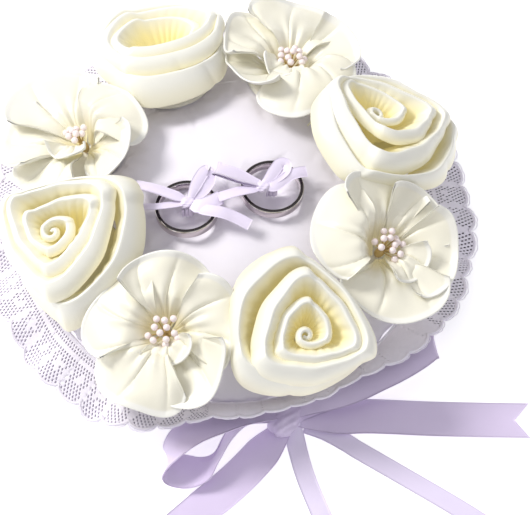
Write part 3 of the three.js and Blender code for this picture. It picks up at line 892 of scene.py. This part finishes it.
# A petal: the way it points, seen from above, and half its spread, in degrees. Then its reach, how far out
# its crest is and how high, how much its one side laps over the next petal, and its shape: 0 where it falls
# outwards from the crest like a cup turned over, 1 where it goes on rising to its end like a bowl. pearls
# are the way they lean, how far they fan out and how many there are.
BLOSSOMS = {
    1: {
        "petals": [
            (150, 50, 29, 13, 13.5, 0.10, 0.6),
            (82, 48, 31, 12, 13.0, 0.12, 0.4),
            (14, 42, 24, 13, 12.5, 0.14, 0.9),
            (-68, 56, 28, 12, 12.0, 0.12, 0.1),
            (-150, 44, 26, 13, 11.0, 0.15, 0.8),
        ],
        "inner": (-112, 50, 13, 6.5, 8.5, 0.0, 0.5),
        "pearls": (0, 0, 0.80, 12),
    },
    2: {
        "petals": [
            (118, 48, 30, 13, 13.0, 0.12, 0.7),
            (178, 44, 27, 13, 12.0, 0.12, 0.7),
            (-128, 42, 27, 14, 10.0, 0.10, 0.4),
            (28, 50, 25, 10, 13.5, 0.10, 0.1),
            (-38, 36, 24, 13, 10.0, 0.10, 0.8),
        ],
        "inner": (-100, 46, 12, 6, 9.5, 0.0, 0.7),
        "pearls": (0, 0, 0.55, 9),
    },
    3: {
        "petals": [
            (152, 52, 28, 12, 13.0, 0.10, 0.3),
            (84, 46, 26, 12, 13.0, 0.12, 0.6),
            (8, 46, 27.5, 12, 12.5, 0.12, 0.5),
            (-54, 44, 27, 13, 11.5, 0.12, 0.8),
            (-118, 48, 28, 11, 12.5, 0.10, 0.1),
        ],
        "inner": (-72, 62, 12, 6, 8.5, 0.03, 0.6),
        "pearls": (0, 0, 0.85, 12),
    },
    4: {
        "petals": [
            (172, 54, 27, 12, 13.0, 0.08, 0.1),
            (96, 46, 28, 13, 12.5, 0.12, 0.7),
            (48, 42, 25, 14, 11.5, 0.12, 0.8),
            (-8, 50, 24.5, 13, 12.5, 0.10, 0.9),
            (-82, 56, 28, 12, 11.5, 0.10, 0.6),
        ],
        "inner": (-38, 46, 15, 8, 8.5, 0.02, 0.6),
        "pearls": (3.0, 1.5, 0.95, 13),
    },
}
PETAL_FOOT = 2.4
PETAL_LAP = 3.6
PEARL_RADIUS = 1.22
STEM_RADIUS = 0.22


def petal_surface(petal, floor, seed, azimuth):
    """A petal rises from its foot to a rounded crest, and goes on from there to its wavy end."""
    way, half, reach, crest, height, lap, bowl = petal
    way, half = math.radians(way) - azimuth, math.radians(half)

    def surface(u, v):
        side = 2 * u - 1
        end = reach * (1 - 0.08 * side**2 - 0.12 * side**6 + 0.035 * ripple(seed, 4 * side))
        radius = PETAL_FOOT + (end - PETAL_FOOT) * v
        middle = crest * (1 + 0.10 * side**2 + 0.05 * ripple(seed + 1, 3 * side))
        inside = np.clip((radius - PETAL_FOOT) / (middle - PETAL_FOOT), 0, 1)
        outside = np.clip((radius - middle) / np.maximum(end - middle, 1), 0, 1)
        cup = np.sin(inside * math.pi / 2) ** 1.5 * (1 - 0.62 * outside**1.7)
        rise = cup + (0.35 * inside + 0.65 * v**2.2 - cup) * bowl
        spread = half * (0.62 + 0.38 * np.sin(np.clip(v * 1.6, 0, 1) * math.pi / 2))
        z = floor + height * rise * (1 - 0.06 * side**2) + lap * side * radius + 1.8 * side**4 * v
        z = z + 1.7 * smooth_step((v - 0.65) / 0.35) * ripple(seed + 2, 4.5 * side)
        creases = (1 - np.abs(np.sin(4.1 * side + seed + 1.2 * v))) ** 5 * np.sin(math.pi * v) ** 0.7
        pleats = np.sin(9 * side + seed + 2 * np.sin(3 * side)) * np.exp(-(((v - 0.28) / 0.25) ** 2))
        z = z + 0.6 * pleats - 1.1 * creases + 0.6 * v * ripple(seed + 3, 4 * side, 5 * v)
        z = z + 0.8 * smooth_step((v - 0.92) / 0.08) + 0.7 * smooth_step((np.abs(side) - 0.9) / 0.1) * v
        return pressed(polar(radius, way + side * spread, z), PETAL_LAP)

    return surface


def make_petal(flower, kind, petal, foot_height, seed, where, material):
    azimuth = math.atan2(where[0][1], where[0][0])
    surface = petal_surface(petal, FLOWER_FLOOR + foot_height, seed, azimuth)
    points, height = folded(surface, 72, 36, lambda u, v: 0.14 + 0.10 * smooth_step((v - 0.6) / 0.4))
    reach, crest = petal[2:4]
    # Painted shade: darker towards the petal's foot, a light painted shade everywhere short of the rim, which
    # leaves the rim a bright painted line, and half as much on one of the two layers.
    radius = PETAL_FOOT + (reach - PETAL_FOOT) * height
    depth = np.clip(1.25 * (1 - radius / crest), 0, 1) ** 0.8
    depth = np.maximum(depth, 0.28 * smooth_step((0.95 - height) / 0.05))
    depth[:, : height.shape[1] // 2] *= 0.5
    piece = cloth(f"{flower}_{kind}_satin", placed(points, where), material, depth)
    attach(piece, "ivory_organza", f"{flower}_{kind}")


def make_stamens(number, where, materials):
    """Pearls on short stems that fan out of one hub. materials are the pearls' and the stems'."""
    golden_angle = math.pi * (3 - math.sqrt(5))
    vertices, faces, uses = [], [], []

    def add(points, quads, use):
        start = sum(len(v) for v in vertices)
        vertices.append(points.reshape(-1, 3))
        faces.extend((quads + start).tolist())
        uses.extend([use] * len(quads))

    down = np.linspace(0.02, math.pi - 0.02, 12)[None, :]
    around = circle(18)
    ball = polar(np.sin(down), around, np.cos(down))
    ball_faces = grid_faces(18, 12, wrap_rows=True)[:, ::-1]
    stem_turn = circle(6)
    foot = np.array([0, 0, FLOWER_FLOOR + 4.0])
    rng = np.random.default_rng(40 + number)
    lean_x, lean_y, spread, pearls = BLOSSOMS[number]["pearls"]
    swept = turned(lean_x / 10, lean_y / 10, -math.atan2(where[0][1], where[0][0]))
    for i in range(pearls):
        lean = spread * math.sqrt((i + 0.3) / pearls)
        length = 7.2 + rng.uniform(-0.8, 0.9)
        way = i * golden_angle + rng.uniform(-0.25, 0.25)
        aim = unit(polar(math.sin(lean), way, math.cos(lean)) + [*swept, 0])
        add(ball * PEARL_RADIUS + foot + aim * length, ball_faces, 0)
        line = foot + np.linspace(0, 1, 8)[:, None] * aim * length
        side = unit(np.cross(aim, [0.3, 0.9, 0.1]))
        other = np.cross(aim, side)
        tube = line[:, None] + STEM_RADIUS * (side * np.cos(stem_turn) + other * np.sin(stem_turn))
        add(tube, grid_faces(8, 6, wrap_columns=True), 1)
    add(ball * [1.6, 1.6, 3] + [0, 0, FLOWER_FLOOR + 2.6], ball_faces, 1)
    flat = placed(np.concatenate(vertices), where)
    piece = add_mesh(f"blossom_{number}_pearls", flat, faces, materials)
    piece.data.polygons.foreach_set("material_index", uses)
    attach(piece, "pearl", f"blossom_{number}_stamens")


def make_blossom(number, petal_material, stamen_materials):
    form = BLOSSOMS[number]
    flower = f"blossom_{number}"
    where = flower_frame(f"{flower}_backing")
    for i, petal in enumerate(form["petals"]):
        make_petal(flower, f"petal_{i + 1}", petal, 1.6, 10 * number + i, where, petal_material)
    make_petal(flower, "inner_petal", form["inner"], 4.5, 50 + number, where, petal_material)
    make_stamens(number, where, stamen_materials)


# ---- Rings ----
RING_INNER = 9.2
RING_OUTER = 10.9
RING_HALF_HEIGHT = 1.9


def ring_frame(side):
    """The ring's own frame: its centre, and its axis straight through the finger hole."""
    middle = sum(box_mm(f"{side}_ring")) / 2
    axis = next(joint["axis"] for joint in frame["joints"] if joint["name"] == f"{side}_ring_lift")
    turn = Vector((0, 0, 1)).rotation_difference(Vector(axis).normalized()).to_matrix()
    return middle, np.array(turn)


def make_ring(side, material):
    """The band's section is rounder on its outside than on its inside."""
    profile = []
    for a in np.linspace(0, TAU, 48, endpoint=False):
        c, s = math.cos(a), math.sin(a)
        out = math.copysign(abs(c) ** (0.55 if c > 0 else 0.75), c)
        r = (RING_INNER + RING_OUTER) / 2 + (RING_OUTER - RING_INNER) / 2 * out
        profile.append((r, RING_HALF_HEIGHT * math.copysign(abs(s) ** 0.62, s)))
    profile = np.array(profile)
    around = circle(160)
    world = placed(polar(profile[:, 0], around, profile[:, 1]), ring_frame(side))
    faces = grid_faces(160, 48, wrap_rows=True, wrap_columns=True)
    piece = add_mesh(f"{side}_ring_polished", world.reshape(-1, 3), faces, [material])
    attach(piece, "silver", f"{side}_ring", body=f"{side}_band")


# ---- The ribbons that tie the rings down ----
# Each strand: the places it passes, in the ring's frame and from the knot, and its width.
TIE_STRANDS = {
    "left": {
        "broad_tail": ([(0, 0.6, 3.6), (-5, 2.6, 4.4), (-11, 5, 4.6), (-15, 6.6, 4), (-18.4, 8, 3.2)], 5.2),
        "thin_tail": (
            [(0, -0.2, 3.4), (-5, -1.2, 4), (-10.5, -2.2, 4.4), (-15, -1.8, 3.4), (-19.2, -3, 1.6)], 3.6
        ),
        "up_loop": (
            [(0.6, 0.8, 3.6), (2, 4, 5), (3.6, 7.6, 5.8), (5.6, 10.8, 6.2), (7.4, 11, 5.6), (7.2, 7.6, 4.9),
             (4.8, 3.8, 4.2), (1.2, 0.4, 3.6)], 4.0
        ),
        "long_tail": ([(0.8, -0.8, 3.6), (4, -2, 4.4), (8, -0.8, 4.8), (11.2, 1.2, 4.6)], 4.8),
        "low_tail": (
            [(1, -1.4, 3.4), (6, -3.4, 4.2), (11.4, -4.6, 4.2), (16, -5.6, 2.6), (21, -7.6, 0.8)], 4.0
        ),
    },
    "right": {
        "up_loop": (
            [(0, 0.6, 3.6), (2.2, 3, 4.8), (4, 5.6, 5.6), (5.6, 8, 5.8), (7.6, 8.2, 5.4), (7.4, 5.6, 4.8),
             (4.4, 2.6, 4.2), (0.6, 0.2, 3.6)], 4.0
        ),
        "right_tail": (
            [(0.6, -0.4, 3.4), (4.4, 0.2, 4.2), (9, 4.2, 4.6), (12, 5.6, 4.6), (14.8, 6.6, 4)], 3.8
        ),
        "wide_loop": (
            [(-1, 0.4, 3.6), (-6, 2, 4.4), (-11, 3.8, 4.5), (-14.6, 5, 4.8), (-15.8, 5.4, 5.5),
             (-13.8, 4.7, 6.2), (-9, 3.1, 6), (-1, 0.8, 4.4)], 6.5
        ),
        "left_tail": ([(-1, -0.6, 3.4), (-5, -2, 4.4), (-10, -3.6, 4.4), (-15, -5.2, 3.6)], 5.0),
    },
}
TIE_KNOTS = {"left": (0.4, 0.2), "right": (-3.4, -1.6)}


def make_tie(side, material):
    where = ring_frame(side)
    kx, ky = TIE_KNOTS[side]
    parts = []
    for name, (stops, width) in TIE_STRANDS[side].items():
        stops = np.array(stops) + [kx, ky, 0]
        wide = smooth_directions(unit(np.cross([0, 0, 1.0], np.gradient(stops, axis=0)))) + [0, 0, 0.35]
        ends = (0.45, 0.45 if name.endswith("loop") else 0)
        points = ribbon_points(np.concatenate([stops, wide], 1), width, 60, 9, gathered=ends, crown=0.3)
        parts.append(cloth(f"{side}_{name}", placed(points, where), material, thickness=0.18))
    parts.append(make_knot(f"{side}_knot", (kx, ky, 3.6), (2.5, 2.0, 1.3), 0.4, material, where))
    attach(join_pieces(f"{side}_tie_ribbon", parts), "lilac_tie", f"{side}_tie_bow", body=f"{side}_bow")
    make_stalk(side, material, where)


def smooth_directions(wide):
    """Keeps neighbouring directions from flipping over."""
    result = wide.copy()
    for k in range(1, len(result)):
        if result[k] @ result[k - 1] < 0:
            result[k] = -result[k]
    return result


def make_stalk(side, material, where):
    """The gathered ribbon that comes up from the cushion through the ring."""
    stops = [(0, 0, -4.0, 1, 0, 0), (0, 0, -2.6, 1, 0.1, 0), (0, 0, -0.6, 1, 0.2, 0), (0, 0, 0.6, 1, 0.3, 0)]
    points = ribbon_points(stops, 3.6, 20, 15)
    points[..., 1] += 0.35 * np.sin(np.linspace(-1, 1, 15) * 9)
    piece = cloth(f"{side}_stalk_ribbon", placed(points, where), material, thickness=0.5)
    attach(piece, "lilac_tie", f"{side}_tie_stalk")


def make_knot(name, centre, size, twist, material, where=((0, 0, 0), np.eye(3))):
    """A ribbon knot: a crossing band wrapped round a gathered middle."""
    around = circle(96)
    along = np.linspace(-1, 1, 41)[None, :]
    bulge = np.sqrt(np.clip(1 - 0.55 * along**2 - 0.4 * along**8, 0.02, 1))
    folds = 1 + 0.07 * np.sin(5 * around + 4 * along + 1) + 0.035 * np.sin(11 * around - 6 * along)
    y = size[1] * bulge * folds * np.cos(around)
    z = size[2] * bulge * folds * np.sin(around)
    x, y = turned(size[0] * along * (1 + 0.04 * np.cos(3 * around)), y, twist)
    points = np.stack([x, y, z], -1) + centre
    return closed_skin(name, placed(points, where), material, uv_axes=(0, 2))


def join_pieces(name, parts):
    bpy.ops.object.select_all(action="DESELECT")
    for part in parts:
        part.select_set(True)
    bpy.context.view_layer.objects.active = parts[0]
    bpy.ops.object.join()
    joined = bpy.context.view_layer.objects.active
    joined.name = name
    joined.data.name = name
    return joined


# ---- The big bow ----
BOW_WIDTH = 12.5
BOW_STRANDS = {
    "bow_left_loop": [
        (19, -69.2, 7, -0.1, -0.9, 0.45), (12, -70, 8.5, -0.1, -0.9, 0.4), (2.1, -71.5, 10, -0.1, -0.95, 0.3),
        (-9.8, -76.2, 10, -0.1, -0.95, 0.25), (-16.2, -81.3, 9.4, -0.1, -0.97, 0.2),
        (-19.2, -85.4, 7.2, 0, -1, 0.1), (-18.6, -88, 4.4, 0, -1, 0), (-13.5, -88.8, 2.8, 0, -1, 0.1),
        (-7.4, -87.6, 2.6, 0, -0.9, 0.45), (-3, -83.7, 3.8, 0.1, -0.55, 0.8),
        (1.1, -76.5, 5, 0.25, -0.45, 0.85), (6, -71.5, 5.8, 0.3, -0.6, 0.75),
        (14, -70, 5.6, 0.1, -0.8, 0.5), (19, -69.8, 5.4, 0, -0.9, 0.4),
    ],
    "bow_right_loop": [
        (21, -68.6, 7.5, -0.1, 0.9, 0.3), (28, -66.4, 8.7, -0.1, 0.9, 0.3), (37, -63, 9.8, -0.3, 0.88, 0.3),
        (48, -57.2, 10.6, -0.42, 0.86, 0.2), (56.4, -52.8, 10.9, -0.42, 0.86, 0.2),
        (63.4, -48.2, 10.8, -0.38, 0.9, 0.2), (68.2, -44, 10, -0.25, 0.96, 0.1),
        (70.4, -42.6, 8.4, -0.16, 0.98, 0.1), (68.2, -42.4, 6.9, -0.25, 0.96, 0.1),
        (63.2, -45.4, 6.2, -0.38, 0.9, 0.2), (56, -49.8, 5.9, -0.42, 0.86, 0.2),
        (47, -54.8, 5.6, -0.42, 0.86, 0.2), (37, -60.6, 5.4, -0.3, 0.88, 0.3),
        (27, -66.6, 5.4, -0.1, 0.9, 0.3), (21, -69.4, 5.4, -0.1, 0.9, 0.3),
    ],
    "bow_left_tail": [
        (20.5, -69.6, 5.6, 0.95, -0.2, 0.25), (18, -74.2, 3.2, 0.9, -0.3, 0.3),
        (13, -80, 1.3, 0.8, -0.6, 0.1), (4, -90, 0.55, 0.75, -0.65, 0),
        (-9, -102, 0.55, 0.75, -0.65, 0), (-24, -116, 0.55, 0.75, -0.65, 0),
    ],
    "bow_right_tail": [
        (21.5, -69.4, 5.4, 0.1, 0.9, 0.4), (27, -69.6, 3.6, 0.1, 1, 0.15), (36, -68.8, 2.2, 0.1, 1, 0),
        (48, -67.8, 1.7, 0, 1, 0), (72, -68.2, 0.9, 0, 1, 0), (102.5, -68.3, 0.55, 0, 1, 0),
    ],
}


def make_bow(material):
    for name, stops in BOW_STRANDS.items():
        if name.endswith("loop"):
            points = ribbon_points(stops, BOW_WIDTH, 140, 17, gathered=(0.5, 0.5))
        else:
            points = ribbon_points(stops, BOW_WIDTH, 90, 17, gathered=(0.5, 0), notch=5)
        points[..., 2] = np.maximum(points[..., 2], 0.3)  # the table is under it
        piece = cloth(f"{name}_ribbon", points, material, thickness=0.3)
        attach(piece, "lilac_satin", name)
    knot = make_knot("bow_knot_ribbon", (19.8, -70.4, 5.2), (6.6, 4.9, 4.2), 0.95, material)
    attach(knot, "lilac_satin", "bow_knot")


FLOOR_REACH = 3000


def make_floor():
    finish = {"Roughness": 0.9, "Emission Color": (1, 1, 1, 1), "Emission Strength": 0.45}
    material, tree, shader = principled("floor", finish)
    tone = mix_colours(tree, noise(tree, 30), (0.97, 0.97, 0.97), (1.0, 1.0, 1.0))
    tree.links.new(tone, shader.inputs["Base Color"])
    corners = FLOOR_REACH * np.array([(-1, -1, 0), (1, -1, 0), (1, 1, 0), (-1, 1, 0)])
    add_mesh("floor", corners, [(0, 1, 2, 3)], [material])


# ---- Everything ----
make_camera()
narrow_lilac = satin("narrow_lilac", (0.82, 0.74, 0.93), (0.6, 0.5, 0.75))
make_narrow_tails(narrow_lilac)
make_floor()
make_light()

pale_satin = satin("pale_satin", (0.865, 0.83, 0.895), (0.8, 0.76, 0.88), shine=0.38)
# For the roses and petals the second colour is a gold painted shade for the crevices, and the emission there
# is a painted glow.
ivory_satin = satin("ivory_satin", (0.90, 0.89, 0.80), (0.84, 0.75, 0.38), shine=0.30, painted_glow=0.15)
ivory_petal = satin("ivory_petal", (0.90, 0.89, 0.82), (0.80, 0.73, 0.44), shine=0.32, painted_glow=0.11)
lilac_satin = satin("lilac_satin", (0.73, 0.63, 0.84), (0.4, 0.33, 0.5), shine=0.36)
lilac_tie = satin("lilac_tie", (0.84, 0.76, 0.93), (0.7, 0.6, 0.85), shine=0.38)
lace_thread = plain("lace_thread", (0.88, 0.84, 0.93), 0.75)
# The sheet under the lace: its dark colour is painted shadow, and its pale lilac second colour is painted
# light on its lit side.
lace_shadow_sheet = satin("lace_shadow_sheet", (0.08, 0.06, 0.10), (0.74, 0.68, 0.82), shine=0.7)
felt = plain("felt", (0.90, 0.87, 0.74), 0.95, depth=0.6)
stem = plain("stem", (0.62, 0.44, 0.18), 0.45)
pearl = pearl_material()
silver = silver_material()

make_cushion(pale_satin)
make_lace(lace_thread, lace_shadow_sheet)
for number in (1, 2, 3, 4):
    make_backing(f"rose_{number}", felt)
    make_backing(f"blossom_{number}", felt)
    make_rose(number, ivory_satin)
    make_blossom(number, ivory_petal, [pearl, stem])
for side in ("left", "right"):
    make_ring(side, silver)
    make_tie(side, lilac_tie)
make_bow(lilac_satin)
